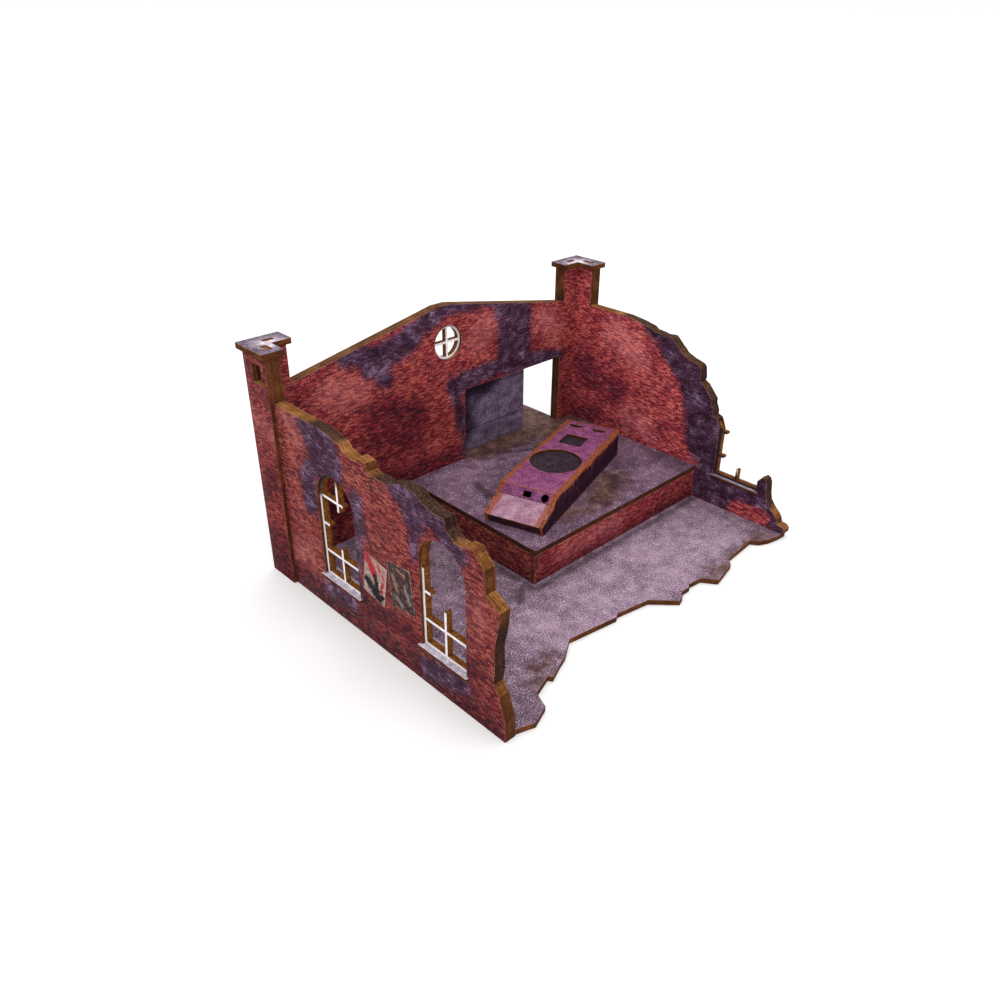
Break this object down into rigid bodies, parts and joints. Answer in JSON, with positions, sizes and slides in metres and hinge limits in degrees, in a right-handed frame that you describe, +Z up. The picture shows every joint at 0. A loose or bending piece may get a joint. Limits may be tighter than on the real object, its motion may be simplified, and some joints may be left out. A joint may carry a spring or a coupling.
{
  "type": "miniature terrain ruin",
  "caption": "Ruined brick loading shed for tabletop battles: broken walls with arched windows, capped pillars, platform, dock, sliding door and a loose hull wreck.",
  "frame": {"origin": "middle of the footprint (left cap to right cap, floor's foremost tip to the dock's outer face), on the ground", "axes": "+X along the back wall to the right seen from the open front, +Y from the open front to the back wall, +Z up"},
  "size_m": [0.238, 0.21, 0.127],
  "materials": {
    "brick_print": "printed brick on fine board, matt",
    "raw_board": "laser-cut board edge, scorched brown",
    "window_paint": "off-white printed board with brown cut edges",
    "sill_print": "grey speckled stone print, matt",
    "ground_print": "printed concrete with dirt and stains, matt",
    "cap_print": "weathered stone print, matt",
    "door_steel_print": "printed steel sheet, matt",
    "hull_print": "rusty painted plate print, satin",
    "hull_dark": "dark printed board, matt",
    "poster_paper": "worn printed paper"
  },
  "bodies": {
    "building": {"back_wall_core": "raw_board", "back_wall_inner_skin": "brick_print", "back_wall_outer_skin": "brick_print", "dock_left_panel": "brick_print", "dock_outer_panel": "brick_print", "dock_right_panel": "brick_print", "dock_top": "ground_print", "door_lower_guide": "raw_board", "door_lower_ledge": "raw_board", "door_rail_cover": "raw_board", "door_rail_spacer": "raw_board", "floor_plate": "ground_print", "front_poster": "poster_paper", "left_front_window_frame": "window_paint", "left_front_window_inner_sill": "sill_print", "left_front_window_outer_sill": "sill_print", "left_pillar_back_panel": "brick_print", "left_pillar_cap": "cap_print", "left_pillar_side_panel": "brick_print", "left_rear_window_frame": "window_paint", "left_rear_window_inner_sill": "sill_print", "left_rear_window_outer_sill": "sill_print", "left_wall_core": "raw_board", "left_wall_inner_skin": "brick_print", "left_wall_outer_skin": "brick_print", "platform_cross_rib": "raw_board", "platform_front_panel": "brick_print", "platform_long_rib": "raw_board", "platform_side_panel": "brick_print", "platform_top": "ground_print", "rear_poster": "poster_paper", "right_pillar_back_panel": "brick_print", "right_pillar_cap": "cap_print", "right_pillar_side_panel": "brick_print", "right_wall_core": "raw_board", "right_wall_inner_skin": "brick_print", "right_wall_outer_skin": "brick_print", "right_window_frame": "window_paint", "right_window_inner_sill": "sill_print", "right_window_outer_sill": "sill_print", "round_window_frame": "window_paint"},
    "door": {"sliding_door": "door_steel_print"},
    "hull": {"hull_belly_plate": "hull_dark", "hull_deck": "hull_print", "hull_front_plate": "hull_print", "hull_left_side": "hull_print", "hull_lower_front_plate": "hull_dark", "hull_nose_plate": "hull_print", "hull_rear_plate": "hull_print", "hull_right_side": "hull_print", "hull_sub_deck": "hull_dark"}
  },
  "joints": [
    {"name": "door_slide", "type": "slide", "parent": "building", "child": "door", "axis": [1, 0, 0], "range_m": [-0.055, 0.0275]},
    {"name": "hull_lift", "type": "slide", "parent": "building", "child": "hull", "axis": [0, 0, 1], "range_m": [0, 0.08]}
  ]
}
